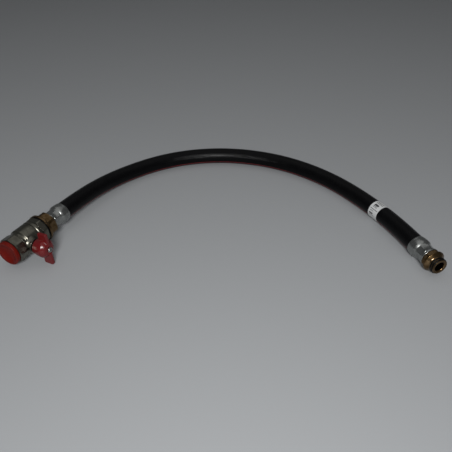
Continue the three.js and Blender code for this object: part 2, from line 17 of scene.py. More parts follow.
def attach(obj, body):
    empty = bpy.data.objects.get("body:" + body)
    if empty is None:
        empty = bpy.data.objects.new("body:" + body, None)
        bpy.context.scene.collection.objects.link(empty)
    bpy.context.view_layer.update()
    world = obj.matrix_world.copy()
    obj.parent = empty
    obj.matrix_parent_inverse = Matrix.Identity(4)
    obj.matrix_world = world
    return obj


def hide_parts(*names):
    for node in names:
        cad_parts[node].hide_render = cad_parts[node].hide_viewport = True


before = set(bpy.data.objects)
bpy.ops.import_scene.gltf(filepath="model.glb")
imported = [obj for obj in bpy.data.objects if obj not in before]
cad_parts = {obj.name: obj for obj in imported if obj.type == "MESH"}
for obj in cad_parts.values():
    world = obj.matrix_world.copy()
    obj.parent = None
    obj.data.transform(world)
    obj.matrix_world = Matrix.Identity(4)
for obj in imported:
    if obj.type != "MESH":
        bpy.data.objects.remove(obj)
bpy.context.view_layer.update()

# %% [markdown]
# ## Camera
# The photograph is taken from the front, about 36 degrees down, with a normal lens. The camera
# stands at the place that makes the two ends and the crown of the bow fall where the photograph has
# them. A small shift sets the optical axis three pixels above the middle of the picture.

# %% Camera
picture_pixels = 452
focal_pixels = 500.0
pixels_above_middle = 3.0
degrees_down = 36.2
camera_data = bpy.data.cameras.new("camera")
camera_data.sensor_width = 36.0
camera_data.lens = camera_data.sensor_width * focal_pixels / picture_pixels
camera_data.shift_y = -pixels_above_middle / picture_pixels
camera_data.clip_start = 0.01
camera = bpy.data.objects.new("camera", camera_data)
camera.location = (0.0075, -0.568, 0.4609)
camera.rotation_euler = (math.radians(90.0 - degrees_down), 0.0, 0.0)
bpy.context.scene.collection.objects.link(camera)
bpy.context.scene.camera = camera
bpy.context.scene.view_settings.view_transform = "Standard"
print("lens", round(camera_data.lens, 2), "mm")

# %% [markdown]
# ## Helpers for materials
# Colours are written as the hex values that a paint program shows, and turned to linear light in
# one place. One function adds a node, sets its sockets and links its inputs. Two patterns serve
# almost every material: soft patches of a real size, and a fine grain that lifts the surface.

# %% Helpers for materials
mm = 0.001


def linear(hex_colour):
    """Linear red, green, blue and alpha of a hex colour."""
    parts = [int(hex_colour[i:i + 2], 16) / 255 for i in (0, 2, 4)]
    return [p / 12.92 if p <= 0.04045 else ((p + 0.055) / 1.055) ** 2.4 for p in parts] + [1.0]


def add_node(tree, kind, links=None, settings=None, **values):
    """Adds a node. An input goes by its name, with _ for a space, or by its number, as in _0.

    Numbers serve where names repeat. Mix has its factor at _0, its colours at _6 and _7 and its
    result at outputs[2].
    """
    made = tree.nodes.new(kind)
    for name, value in (settings or {}).items():
        setattr(made, name, value)

    def socket(name):
        return made.inputs[int(name[1:]) if name[0] == "_" else name.replace("_", " ")]

    for name, value in values.items():
        socket(name).default_value = value
    for name, output in (links or {}).items():
        tree.links.new(output, socket(name))
    return made


def new_material(name, colour, metallic, roughness):
    material = bpy.data.materials.new(name)
    material.use_nodes = True
    tree = material.node_tree
    shader = tree.nodes["Principled BSDF"]
    shader.inputs["Base Color"].default_value = linear(colour)
    shader.inputs["Metallic"].default_value = metallic
    shader.inputs["Roughness"].default_value = roughness
    return material, tree, shader


def patches(tree, size, detail):
    """Soft random patches of a real size, as a value that stays mostly between 0.3 and 0.7."""
    place = add_node(tree, "ShaderNodeTexCoord").outputs["Object"]
    cloud = add_node(tree, "ShaderNodeTexNoise", {"Vector": place}, Scale=1.0 / size, Detail=detail)
    return cloud.outputs["Fac"]


def grain(tree, shader, size, depth):
    """A fine random relief, as wide and as deep as given."""
    height = patches(tree, size, detail=2.0)
    relief = add_node(tree, "ShaderNodeBump", {"Height": height}, Distance=depth)
    tree.links.new(relief.outputs["Normal"], shader.inputs["Normal"])


print("mid grey 808080 is", round(linear("808080")[0], 3), "in linear light")

# %% [markdown]
# ## Metals
# - Zinc-plated steel: the sleeves are drawn steel with a thin bright coat of zinc. It mirrors
#   softly, in patches that are a little brighter or duller.
# - Nickel-plated forged brass: a warm grey that keeps the fine orange peel of the forging.
# - Turned brass: brownish gold with a faint grain, darker where it is tarnished.
# - Chromed brass: the ball, almost a mirror.
#
# The real grain is a few tenths of a millimetre wide and would vanish at this distance, so it is
# drawn 0.8 to 3 mm wide.

# %% Metals
def plated_metal(name, bright, dull, roughness, grain_size, grain_depth, patch_size):
    """A metal that goes from dull to bright in soft patches, and is smoother where it is bright."""
    material, tree, shader = new_material(name, bright, 1.0, roughness)
    cloud = patches(tree, patch_size, detail=4.0)
    brightness = add_node(tree, "ShaderNodeMapRange", {"Value": cloud}, From_Min=0.35, From_Max=0.7)
    colour = add_node(
        tree, "ShaderNodeMix", {"_0": brightness.outputs["Result"]}, {"data_type": "RGBA"},
        _6=linear(dull), _7=linear(bright),
    )
    uneven = add_node(
        tree, "ShaderNodeMapRange", {"Value": cloud},
        From_Min=0.3, From_Max=0.7, To_Min=1.25 * roughness, To_Max=0.8 * roughness,
    )
    tree.links.new(colour.outputs[2], shader.inputs["Base Color"])
    tree.links.new(uneven.outputs["Result"], shader.inputs["Roughness"])
    grain(tree, shader, grain_size, grain_depth)
    return material


zinc = plated_metal("zinc_plated_steel", "A6A8A6", "8E908E", 0.25, 2.5 * mm, 0.010 * mm, 8 * mm)
nickel = plated_metal("nickel_plated_brass", "76746A", "5C5A52", 0.28, 0.8 * mm, 0.035 * mm, 9 * mm)
brass = plated_metal("turned_brass", "79644A", "564329", 0.23, 1.2 * mm, 0.008 * mm, 6 * mm)
chrome = plated_metal("chromed_brass", "D4D7DA", "C6C9CC", 0.08, 3 * mm, 0.002 * mm, 20 * mm)
print("metals:", zinc.name, nickel.name, brass.name, chrome.name)

# %% [markdown]
# ## Plastics and seals
# - Red nylon of the handle: moulded and glossy, with a faint orange peel.
# - Red polyethylene of the plug: softer and waxier, so it is rougher and light goes a little way
#   in.
# - Seal rubber (EPDM): black, smooth from the mould, with little shine.
# - Seat plastic (PTFE): milky white and waxy.
#
# The orange peel that a mould leaves is one or two millimetres wide.

# %% Plastics and seals
def moulded(name, colour, roughness, grain_size, grain_depth, waxy=0.0, shine=0.5):
    """A moulded plastic or rubber: waxy is how much light goes in, shine how much it mirrors."""
    material, tree, shader = new_material(name, colour, 0.0, roughness)
    for socket, value in (
        ("IOR", 1.5), ("Specular IOR Level", shine), ("Subsurface Weight", waxy),
        ("Subsurface Radius", (1.0, 0.25, 0.2)), ("Subsurface Scale", 1.2 * mm),
    ):
        shader.inputs[socket].default_value = value
    grain(tree, shader, grain_size, grain_depth)
    return material


red_nylon = moulded("red_nylon", "590C0E", 0.22, 1.6 * mm, 0.02 * mm)
red_polyethylene = moulded(
    "red_polyethylene", "550D06", 0.42, 1.2 * mm, 0.03 * mm, waxy=0.12, shine=0.14
)
seal_rubber = moulded("seal_rubber", "040404", 0.45, 0.8 * mm, 0.01 * mm, shine=0.12)
seat_plastic = moulded("white_ptfe", "E4E2DA", 0.45, 2.0 * mm, 0.01 * mm, waxy=0.1)
print("plastics:", red_nylon.name, red_polyethylene.name, seal_rubber.name, seat_plastic.name)

# %% [markdown]
# ## Where the pieces lie
# Each end of the hose has its own place: the middle of the hose's cut end, with X pointing away
# from the hose. The valve sits further out on the same line, rolled a little so that its stem rises
# 1.5 degrees. A piece is drawn in millimetres in that place, and then set into the frame in metres.

# %% Places
up = Vector((0.0, 0.0, 1.0))


def end_place(cut_end, inward):
    """The place of an end: X outward, Z up, in millimetres."""
    out = Vector((cut_end[0] - inward[0], cut_end[1] - inward[1], 0.0)).normalized()
    turn = Matrix((out, up.cross(out), up)).transposed().to_4x4()
    return Matrix.Translation(Vector(cut_end) * mm) @ turn @ Matrix.Scale(mm, 4)


route_points = [
    (-254.1, 32.2, 24.5), (-241.7, 58.2, 24.5), (-235.6, 71.2, 24.2), (-225.8, 91.8, 23.3),
    (-208.5, 125.4, 20.9), (-187.5, 158.8, 17.7), (-163.2, 187.9, 15), (-134.7, 212.5, 13.9),
    (-102.8, 231.8, 13.7), (-68.2, 245.4, 13.7), (-30.5, 253.2, 13.7), (6.7, 254.6, 13.7),
    (43.6, 249.9, 13.7), (79.4, 239.5, 13.7), (113.1, 223.9, 13.7), (144.3, 203.5, 13.7),
    (173.3, 178.1, 13.7), (198, 150.3, 13.7), (219.4, 119.8, 13.8), (237.8, 87.4, 14.4),
    (253.7, 53.7, 15.2), (267.8, 17.9, 15.9), (273.4, 1.5, 16.1), (277.9, -11.6, 16.2),
    (287.3, -39, 16.2),
]
left_place = end_place(route_points[0], route_points[1])
right_place = end_place(route_points[-1], route_points[-2])
ball_from_cut_end = Matrix.Translation((52.7, 0.0, 0.0))
stem_rise = Matrix.Rotation(math.radians(1.5), 4, "X")
valve_place = left_place @ ball_from_cut_end @ stem_rise
stem_place = valve_place @ Matrix.Rotation(math.radians(90), 4, "Z")
print("ball at", [round(v, 4) for v in valve_place.translation])

# %% [markdown]
# ## Turned and faceted forms
# Almost every metal piece here starts on a lathe: a profile turned about an axis. Nuts and the
# valve's end also have flats. Both are one kind of surface: at each place along the axis the radius
# is a number, or a function of the angle. A hexagon's radius is its flat distance over the cosine
# of the angle from the flat's middle, and a cone cuts its corners down. Drawing the skin ring by
# ring from that rule gives clean edges with no boolean.

# %% Turned and faceted forms
def flats(count, across, corner, roll=0.0):
    """The radius of a polygon with its corners turned to a circle, for an angle in degrees."""
    step = 360.0 / count

    def radius(angle):
        off = (angle - roll + step / 2) % step - step / 2
        return min(corner, across / 2 / math.cos(math.radians(off)))

    return radius


def eased(outline, radius=0.35, steps=3):
    """The same outline of (x, radius) points with each plain corner rounded."""
    edge_share = 0.4
    shortest = 1e-3
    straight = math.radians(175)
    rounded = []
    for i, point in enumerate(outline):
        before, after = outline[i - 1], outline[(i + 1) % len(outline)]
        plain = all(not callable(p[1]) for p in (before, point, after))
        if not plain or point[1] == 0:
            rounded.append(point)
            continue
        here = Vector(point)
        back, forth = Vector(before) - here, Vector(after) - here
        reach = min(radius, edge_share * back.length, edge_share * forth.length)
        if reach < shortest or back.angle(forth, 0) > straight:
            rounded.append(point)
            continue
        start, end = here + back.normalized() * reach, here + forth.normalized() * reach
        for k in range(steps + 1):
            t = k / steps
            rounded.append(tuple((1 - t) ** 2 * start + 2 * t * (1 - t) * here + t * t * end))
    return rounded


def finished(name, mesh, material, sharp=32):
    """Merges doubles, points the faces outwards, sets soft and sharp edges, links the object."""
    same_point = 1e-7
    work = bmesh.new()
    work.from_mesh(mesh)
    bmesh.ops.remove_doubles(work, verts=work.verts, dist=same_point)
    bmesh.ops.dissolve_degenerate(work, dist=same_point, edges=work.edges)
    bmesh.ops.recalc_face_normals(work, faces=work.faces)
    work.to_mesh(mesh)
    work.free()
    mesh.shade_smooth()
    mesh.set_sharp_from_angle(angle=math.radians(sharp))
    made = bpy.data.objects.new(name, mesh)
    mesh.materials.append(material)
    bpy.context.scene.collection.objects.link(made)
    return made


def skin(name, outline, place, material, segments=96, sharp=32):
    """A closed skin about the X axis, with a ring of vertices for each (x, radius)."""
    vertices, faces = [], []
    rings = len(outline)
    for x, radius in outline:
        for k in range(segments):
            angle = 360.0 * k / segments
            r = radius(angle) if callable(radius) else radius
            turn = math.radians(angle)
            vertices.append((x, r * math.cos(turn), r * math.sin(turn)))
    for i in range(rings):
        here, ahead = i * segments, (i + 1) % rings * segments
        for k in range(segments):
            beside = (k + 1) % segments
            faces.append((here + k, here + beside, ahead + beside, ahead + k))
    mesh = bpy.data.meshes.new(name)
    mesh.from_pydata([place @ Vector(v) for v in vertices], [], faces)
    return finished(name, mesh, material, sharp)


def stands_for(piece, body, *nodes, slot=None):
    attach(piece, body)
    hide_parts(*nodes)
    print(piece.name, len(piece.data.polygons), "faces")


hexagon = flats(6, 26.5, 15.0)
print("a hexagon's radius at its flat and corner:", hexagon(0), round(hexagon(30), 2), "mm")

# %% [markdown]
# ## The hose
# A rubber hose is built in layers on a steel rod, wrapped tightly in wet cloth and cured. The cloth
# comes off and leaves its weave pressed into the skin, which is why the highlight on top looks
# beaded. A thin dark red line printed along one side shows the fitter whether the hose is twisted.
# The tube is a profile circle swept along the route by Geometry Nodes. The radius narrows under the
# crimped waist of each sleeve. A UV map in metres along and round the hose carries the weave and
# the line.

# %% Hose: the swept tube
hose_radius = 13.5 * mm
squeezed_radius = 11.0 * mm
squeezed_length = 13.0 * mm
tube_sides = 72


def route_curve(name, points):
    curve = bpy.data.curves.new(name, "CURVE")
    curve.dimensions = "3D"
    line = curve.splines.new("POLY")
    line.points.add(len(points) - 1)
    for curve_point, point in zip(line.points, points):
        curve_point.co = (*point, 1.0)
    return curve


def smooth_route(points, per_span=12):
    """Points on the centripetal curve through the route's points, as in the solids."""
    line = [Vector(p) * mm for p in points]
    line = [2 * line[0] - line[1], *line, 2 * line[-1] - line[-2]]
    result = []
    for i in range(1, len(line) - 2):
        p0, p1, p2, p3 = line[i - 1:i + 3]
        d01 = max((p1 - p0).length ** 0.5, 1e-4)
        d12 = max((p2 - p1).length ** 0.5, 1e-4)
        d23 = max((p3 - p2).length ** 0.5, 1e-4)
        m1 = (p1 - p0) / d01 - (p2 - p0) / (d01 + d12) + (p2 - p1) / d12
        m2 = (p2 - p1) / d12 - (p3 - p1) / (d12 + d23) + (p3 - p2) / d23
        m1, m2 = m1 * d12, m2 * d12
        for k in range(per_span):
            t = k / per_span
            result.append(
                (2 * t**3 - 3 * t**2 + 1) * p1 + (t**3 - 2 * t**2 + t) * m1
                + (-2 * t**3 + 3 * t**2) * p2 + (t**3 - t**2) * m2
            )
    result.append(line[-2])
    return result


route = smooth_route(route_points)


def tube_tree():
    """Sweeps a circle along the curve, narrowed near both ends."""
    taper_length = 4 * mm
    tree = bpy.data.node_groups.new("hose_tube", "GeometryNodeTree")
    sockets = {}
    for name, kind in (
        ("Geometry", "NodeSocketGeometry"), ("Radius", "NodeSocketFloat"),
        ("End radius", "NodeSocketFloat"), ("End length", "NodeSocketFloat"),
        ("Step", "NodeSocketFloat"), ("Material", "NodeSocketMaterial"),
    ):
        sockets[name] = tree.interface.new_socket(name, in_out="INPUT", socket_type=kind).identifier
    tree.interface.new_socket("Geometry", in_out="OUTPUT", socket_type="NodeSocketGeometry")
    given = add_node(tree, "NodeGroupInput").outputs
    resampled = add_node(
        tree, "GeometryNodeResampleCurve", {"Curve": given["Geometry"], "Length": given["Step"]},
        {"mode": "LENGTH"},
    )
    along = add_node(tree, "GeometryNodeSplineParameter").outputs["Length"]
    whole = add_node(tree, "GeometryNodeSplineLength").outputs["Length"]
    left = add_node(tree, "ShaderNodeMath", {"_0": whole, "_1": along}, {"operation": "SUBTRACT"})
    nearest = add_node(
        tree, "ShaderNodeMath", {"_0": along, "_1": left.outputs[0]}, {"operation": "MINIMUM"}
    )
    beyond = add_node(
        tree, "ShaderNodeMath", {"_0": given["End length"]}, {"operation": "ADD"}, _1=taper_length
    )
    share = add_node(
        tree, "ShaderNodeMapRange",
        {"Value": nearest.outputs[0], "From Min": given["End length"],
         "From Max": beyond.outputs[0], "To Min": given["End radius"], "To Max": given["Radius"]},
    )
    stored = add_node(
        tree, "GeometryNodeStoreNamedAttribute", {"Geometry": resampled.outputs[0], "Value": along},
        {"data_type": "FLOAT", "domain": "POINT"}, Name="along",
    )
    circle = add_node(
        tree, "GeometryNodeCurvePrimitiveCircle", settings={"mode": "RADIUS"},
        Resolution=tube_sides, Radius=1.0,
    )
    swept = add_node(
        tree, "GeometryNodeCurveToMesh",
        {"Curve": stored.outputs[0], "Profile Curve": circle.outputs[0],
         "Scale": share.outputs["Result"]},
        Fill_Caps=True,
    )
    real = add_node(tree, "GeometryNodeRealizeInstances", {"Geometry": swept.outputs[0]})
    painted = add_node(
        tree, "GeometryNodeSetMaterial",
        {"Geometry": real.outputs[0], "Material": given["Material"]},
    )
    add_node(tree, "NodeGroupOutput", {"Geometry": painted.outputs[0]})
    return tree, sockets


# %% Hose: make the mesh and its UV map
def evaluated_mesh(source, name):
    """The plain mesh of an object with its modifiers. The object then goes."""
    bpy.context.scene.collection.objects.link(source)
    depsgraph = bpy.context.evaluated_depsgraph_get()
    mesh = bpy.data.meshes.new_from_object(source.evaluated_get(depsgraph))
    mesh.name = name
    bpy.data.objects.remove(source)
    return mesh


def swept_mesh(name, points, material, radius, end_radius, end_length, step):
    source = bpy.data.objects.new(name, route_curve(name, points))
    modifier = source.modifiers.new("tube", "NODES")
    tree, sockets = tube_tree()
    modifier.node_group = tree
    for socket, value in (
        ("Radius", radius), ("End radius", end_radius), ("End length", end_length),
        ("Step", step), ("Material", material),
    ):
        modifier[sockets[socket]] = value
    return evaluated_mesh(source, name)


def unwrap_tube(mesh):
    """UV in metres: U along the tube, V round it, from the underside up the inside of the bow."""
    along = [0.0] * len(mesh.vertices)
    mesh.attributes["along"].data.foreach_get("value", along)
    places = [v.co for v in mesh.vertices]
    rings = [places[i:i + tube_sides] for i in range(0, len(places), tube_sides)]
    middles = [sum(ring, Vector()) / tube_sides for ring in rings]
    turns = []
    for k, ring in enumerate(rings):
        ahead = middles[min(k + 1, len(rings) - 1)] - middles[max(k - 1, 0)]
        inner = ahead.cross(up).normalized()
        for corner in ring:
            off = corner - middles[k]
            turns.append(math.atan2(off.dot(inner), -off.z) / (2 * math.pi) % 1.0)
    layer = mesh.uv_layers.new(name="along_and_round")
    for face in mesh.polygons:
        here = [turns[v] for v in face.vertices]
        crosses_seam = max(here) - min(here) > 0.5
        for loop, vertex, turn in zip(face.loop_indices, face.vertices, here):
            if crosses_seam and turn < 0.5:
                turn += 1.0
            layer.data[loop].uv = (along[vertex], turn * 2 * math.pi * hose_radius)


hose_material, hose_nodes, hose_shader = new_material("epdm_rubber_hose", "030304", 0.0, 0.22)
hose_mesh = swept_mesh(
    "rubber_hose", route, hose_material, radius=hose_radius, end_radius=squeezed_radius,
    end_length=squeezed_length, step=3 * mm,
)
unwrap_tube(hose_mesh)
hose = finished("rubber_hose", hose_mesh, hose_material, sharp=60)
print("hose", len(hose_mesh.vertices), "vertices")

# %% [markdown]
# ## The hose's skin
# The weave is a pair of crossed waves at 45 degrees. The real threads are about half a millimetre
# apart, which would vanish at this distance, so they are drawn 2.4 mm apart. The print of the red
# line is worn thin in places. Black rubber never shows pure black: a little sheen lifts its edges.

# %% Hose: the material
weave_step = 2.4 * mm  # coarser than the real half millimetre, so that it shows
wave_texture_scale = 2 * math.pi / (20 * weave_step)  # at scale 1 it repeats every 2 pi / 20
line_share_round = 0.170


def rubber_skin(tree, shader):
    """Black rubber with the weave of the cloth and the red line."""
    shader.inputs["IOR"].default_value = 1.45
    shader.inputs["Specular IOR Level"].default_value = 0.12
    uv = add_node(tree, "ShaderNodeUVMap", settings={"uv_map": "along_and_round"}).outputs["UV"]
    threads = []
    for turn in (45, -45):
        turned = add_node(
            tree, "ShaderNodeMapping", {"Vector": uv}, Rotation=(0.0, 0.0, math.radians(turn))
        )
        threads.append(add_node(
            tree, "ShaderNodeTexWave", {"Vector": turned.outputs["Vector"]},
            Scale=wave_texture_scale, Distortion=0.6, Detail=1.0, Detail_Scale=2.0,
        ).outputs["Fac"])
    weave = add_node(
        tree, "ShaderNodeMath", {"_0": threads[0], "_1": threads[1]}, {"operation": "MULTIPLY"}
    )
    cloud = patches(tree, 9 * mm, detail=3.0)
    height = add_node(
        tree, "ShaderNodeMath", {"_0": weave.outputs[0], "_1": cloud}, {"operation": "ADD"}
    )
    relief = add_node(tree, "ShaderNodeBump", {"Height": height.outputs[0]}, Distance=0.20 * mm)
    tree.links.new(relief.outputs["Normal"], shader.inputs["Normal"])

    way_round = add_node(tree, "ShaderNodeSeparateXYZ", {"Vector": uv}).outputs["Y"]
    off = add_node(
        tree, "ShaderNodeMath", {"_0": way_round}, {"operation": "SUBTRACT"},
        _1=line_share_round * 2 * math.pi * hose_radius,
    )
    far = add_node(tree, "ShaderNodeMath", {"_0": off.outputs[0]}, {"operation": "ABSOLUTE"})
    line = add_node(
        tree, "ShaderNodeMapRange", {"Value": far.outputs[0]},
        From_Min=0.8 * mm, From_Max=1.1 * mm, To_Min=1.0, To_Max=0.0,
    )
    worn = add_node(
        tree, "ShaderNodeMapRange", {"Value": patches(tree, 4 * mm, detail=4.0)},
        From_Min=0.3, From_Max=0.55, To_Min=0.45, To_Max=1.0,
    )
    printed_line = add_node(
        tree, "ShaderNodeMath", {"_0": line.outputs["Result"], "_1": worn.outputs["Result"]},
        {"operation": "MULTIPLY"},
    )
    black = add_node(
        tree, "ShaderNodeMix", {"_0": cloud}, {"data_type": "RGBA"},
        _6=linear("030304"), _7=linear("080809"),
    )
    colour = add_node(
        tree, "ShaderNodeMix", {"_0": printed_line.outputs[0], "_6": black.outputs[2]},
        {"data_type": "RGBA"}, _7=linear("701E24"),
    )
    roughness = add_node(
        tree, "ShaderNodeMapRange", {"Value": cloud},
        From_Min=0.3, From_Max=0.7, To_Min=0.19, To_Max=0.25,
    )
    tree.links.new(colour.outputs[2], shader.inputs["Base Color"])
    tree.links.new(roughness.outputs["Result"], shader.inputs["Roughness"])


rubber_skin(hose_nodes, hose_shader)
stands_for(hose, "hose_set", "hose", slot="hose_rubber")

# %% [markdown]
# ## The label
# A white paper label is wrapped once round the hose near the spigot end. It follows the hose
# closely, so it is another short sweep, a fraction of a millimetre larger. Its print is plain dark
# lines and bars.

# %% Label
label_middle = 687.0 * mm
label_length = 19.5 * mm
label_radius = hose_radius + 0.25 * mm
paper, ink = "B8B9B9", "1E1F22"


def stretch(points, start, end):
    """The part of a line between two lengths along it, cut exactly at both."""
    part, walked = [], 0.0
    for a, b in zip(points, points[1:]):
        step = (b - a).length
        for cut in (start, end):
            if walked < cut <= walked + step:
                part.append(a.lerp(b, (cut - walked) / step))
        walked += step
        if start < walked < end:
            part.append(b)
    return part


def printed(tree, shader, bars):
    """Plain dark bars on the paper, each (along, round, half length, half height) in mm."""
    uv = add_node(tree, "ShaderNodeUVMap", settings={"uv_map": "along_and_round"}).outputs["UV"]
    place = add_node(tree, "ShaderNodeSeparateXYZ", {"Vector": uv}).outputs
    inked = None
    for along, around, half_length, half_height in bars:
        within = [
            add_node(
                tree, "ShaderNodeMath", {"_0": place[axis]}, {"operation": "COMPARE"},
                _1=middle * mm, _2=half * mm,
            ).outputs[0]
            for axis, middle, half in (("X", along, half_length), ("Y", around, half_height))
        ]
        bar = add_node(
            tree, "ShaderNodeMath", {"_0": within[0], "_1": within[1]}, {"operation": "MULTIPLY"}
        ).outputs[0]
        inked = bar if inked is None else add_node(
            tree, "ShaderNodeMath", {"_0": inked, "_1": bar}, {"operation": "MAXIMUM"}
        ).outputs[0]
    colour = add_node(
        tree, "ShaderNodeMix", {"_0": inked}, {"data_type": "RGBA"},
        _6=linear(paper), _7=linear(ink),
    )
    tree.links.new(colour.outputs[2], shader.inputs["Base Color"])


label_bars = [
    (8.6, 37.0, 4.2, 1.6), (8.0, 34.4, 3.8, 0.4), (8.5, 32.6, 4.6, 0.35), (9.8, 29.2, 8.0, 0.45),
    (7.0, 26.4, 3.6, 0.4), (7.0, 22.0, 4.0, 1.2), (9.0, 19.2, 5.0, 0.4), (9.8, 41.6, 6.6, 0.5),
    (9.8, 44.4, 6.6, 0.5),
]
label_material, label_nodes, label_shader = new_material("printed_paper_label", paper, 0.0, 0.55)
printed(label_nodes, label_shader, label_bars)
label_mesh = swept_mesh(
    "paper_label", stretch(route, label_middle - label_length / 2, label_middle + label_length / 2),
    label_material, radius=label_radius, end_radius=label_radius, end_length=0.0, step=1 * mm,
)
unwrap_tube(label_mesh)
label = finished("paper_label", label_mesh, label_material, sharp=60)
stands_for(label, "hose_set", "hose_label", slot="label_paper")

# %% [markdown]
# ## The crimped sleeves
# Each sleeve is a drawn steel cup slid over the hose. Eight jaws squeeze its waist onto the barbed
# tail inside, and leave eight flats. The rim behind the nut and the mouth stay round.

# %% Sleeves
def sleeve_outline():
    jaws = flats(8, across=24.6, corner=25.4, roll=7.5)
    fading = flats(8, across=25.4, corner=26.0, roll=7.5)
    rim = eased([(0.6, 9.9), (2.4, 9.9), (2.4, 13.9), (-0.3, 13.9), (-0.9, 13.0)], 0.7)
    waist = [(-1.4, fading), (-2.0, jaws), (-10.6, jaws), (-11.6, fading)]
    shoulder = [
        (-12.8, 12.9), (-13.5, 13.15), (-14.0, 13.45), (-16.3, 14.97), (-16.9, 15.17),
        (-17.8, 15.27), (-20.0, 15.27), (-24.5, 15.05),
    ]
    mouth = eased([
        (-26.6, 14.75), (-29.0, 14.3), (-29.0, 13.6), (-16.2, 13.7), (-12.0, 11.4), (0.6, 11.4),
    ], 0.4)
    return [*rim, *waist, *shoulder, *mouth]


for side, place in (("left", left_place), ("right", right_place)):
    sleeve = skin(f"{side}_sleeve", sleeve_outline(), place, zinc, segments=128, sharp=50)
    stands_for(sleeve, "hose_set", f"{side}_ferrule", slot="ferrule_steel")

# %% [markdown]
# ## The brass nipples
# Both nipples are turned from brass bar. The hexagon keeps the bar's flats, and a 30 degree cone
# turned on the hose's side cuts curved edges into it. The right one ends in a spigot with two
# grooves for its rings, the left one in a thread that screws into the valve.

# %% Nipples
def nut_rings(start, end, across, roll, count=6, both=True, over=1.12):
    """Rings of a nut from start to end, its corners turned down by a cone at one end or both."""
    cone_steps = 7
    cone_slope = math.tan(math.radians(30))
    below_flats = 0.15
    corner = across * over / 2
    low = across / 2 - below_flats
    reach = math.copysign((corner - low) * cone_slope, end - start)
    shares = [k / cone_steps for k in range(cone_steps + 1)]

    def cut_to(share):
        return flats(count, across, low + (corner - low) * share, roll)

    rings = [(start + reach * share, cut_to(share)) for share in shares]
    if both:
        return rings + [(end - reach * share, cut_to(share)) for share in reversed(shares)]
    return rings + [(end, flats(count, across, corner, roll))]


nut_start = 2.7
tail = [(-26.0, 7.0), (-26.0, 8.1), (-1.0, 8.6), (0.3, 9.6), (nut_start, 9.6)]
groove_width, groove_floor, spigot_radius = 2.5, 9.2, 11.2
spigot_grooves = []
for groove in (16.3, 19.8):
    groove_end = groove + groove_width
    spigot_grooves += [
        (groove, spigot_radius), (groove, groove_floor), (groove_end, groove_floor),
        (groove_end, spigot_radius),
    ]
right_outline = [
    *eased([*tail, (nut_start, 12.9)], 0.2)[:-1],
    *nut_rings(nut_start, 8.9, across=26.5, roll=101, both=False),
    *eased([(8.9, 13.0), (8.9, 15.9), (11.0, 15.9), (14.2, 11.9), (15.2, spigot_radius),
            *spigot_grooves, (23.2, spigot_radius), (23.2, 8.2), (22.0, 7.0)], 0.3)[1:],
]
right_nipple = skin("spigot_nipple", right_outline, right_place, brass, segments=144, sharp=30)
stands_for(right_nipple, "hose_set", "right_nipple", slot="nipple_brass")

left_outline = [
    *eased([*tail, (nut_start, 16.0)], 0.2)[:-1],
    *nut_rings(nut_start, 16.2, across=33.0, roll=10, both=False, over=1.09),
    *eased([(16.2, 16.4), (16.2, 20.3), (16.9, 20.95), (20.4, 20.95), (20.4, 16.0), (31.4, 16.0),
            (32.4, 15.0), (32.4, 7.0)], 0.35)[1:],
]
left_nipple = skin("threaded_nipple", left_outline, left_place, brass, segments=144, sharp=30)
stands_for(left_nipple, "hose_set", "left_nipple", slot="nipple_brass")

# %% [markdown]
# ## Rings and gasket
# The two rings are moulded rubber with a round section. They stand a little proud of the spigot so
# that they are squeezed in its socket. The flat gasket lies between the left nut and the valve.

# %% Rings and gasket
ring_middle_radius, ring_section = 10.6, 2.7


def round_section(centre, steps=16):
    """The outline of a ring of round section, its middle at a place along the axis."""
    thick = ring_section / 2
    turns = [2 * math.pi * k / steps for k in range(steps)]
    return [(centre + thick * math.cos(t), ring_middle_radius + thick * math.sin(t)) for t in turns]


for name, node, centre in (
    ("rear_ring", "o_ring_rear", 17.55), ("front_ring", "o_ring_front", 21.05),
):
    ring = skin(name, round_section(centre), right_place, seal_rubber, sharp=60)
    stands_for(ring, "hose_set", node, slot="seal_rubber")
gasket_outline = eased([(20.6, 16.3), (22.1, 16.3), (22.1, 20.2), (20.6, 20.2)], 0.25)
gasket = skin("flat_gasket", gasket_outline, left_place, seal_rubber)
stands_for(gasket, "hose_set", "nipple_gasket", slot="seal_rubber")

# %% [markdown]
# ## The ball valve
# The body is one hot forging with an octagonal end, a neck, a round housing and a boss for the
# stem. The second piece screws in from the hose side and holds the seats against the ball. The
# mouth has a pipe thread, which shows when the plug is out: its radius follows a helix.

# %% Valve body and tail piece
thread_pitch = 2.309


def thread(x, crest, root):
    """The radius of a thread at a place along it, for an angle in degrees."""
    def radius(angle):
        turn = (x / thread_pitch - angle / 360.0) % 1.0
        return crest + (root - crest) * abs(2 * turn - 1)

    return radius


def thread_rings(start, end, crest, root, steps=10):
    count = max(2, round(abs(end - start) / thread_pitch * steps))
    places = [start + (end - start) * k / count for k in range(count + 1)]
    return [(x, thread(x, crest, root)) for x in places]


body_outside = [
    *eased([(-8.0, 16.5), (-14.7, 16.5), (-14.7, 19.8), (-13.8, 20.0), (4.6, 20.0), (6.6, 17.7),
            (9.6, 17.5), (9.8, 18.5), (11.2, 18.5), (11.3, 17.3), (11.5, 17.3)], 0.8)[1:-1],
    *nut_rings(11.5, 25.5, across=37.0, roll=22.5, count=8, over=1.07),
]
body_inside = [
    (25.5, 17.2), (24.6, 16.4), *thread_rings(24.4, 14.9, crest=15.1, root=16.5), (14.5, 15.8),
    (13.0, 10.0), (11.8, 10.0), (11.8, 12.7), (6.8, 12.7), (6.8, 14.6), (-8.0, 14.6),
]
body = skin(
    "valve_body_skin", [*body_outside, *body_inside], valve_place, nickel, segments=144, sharp=30
)
stands_for(body, "hose_set", "valve_body", slot="valve_nickel")

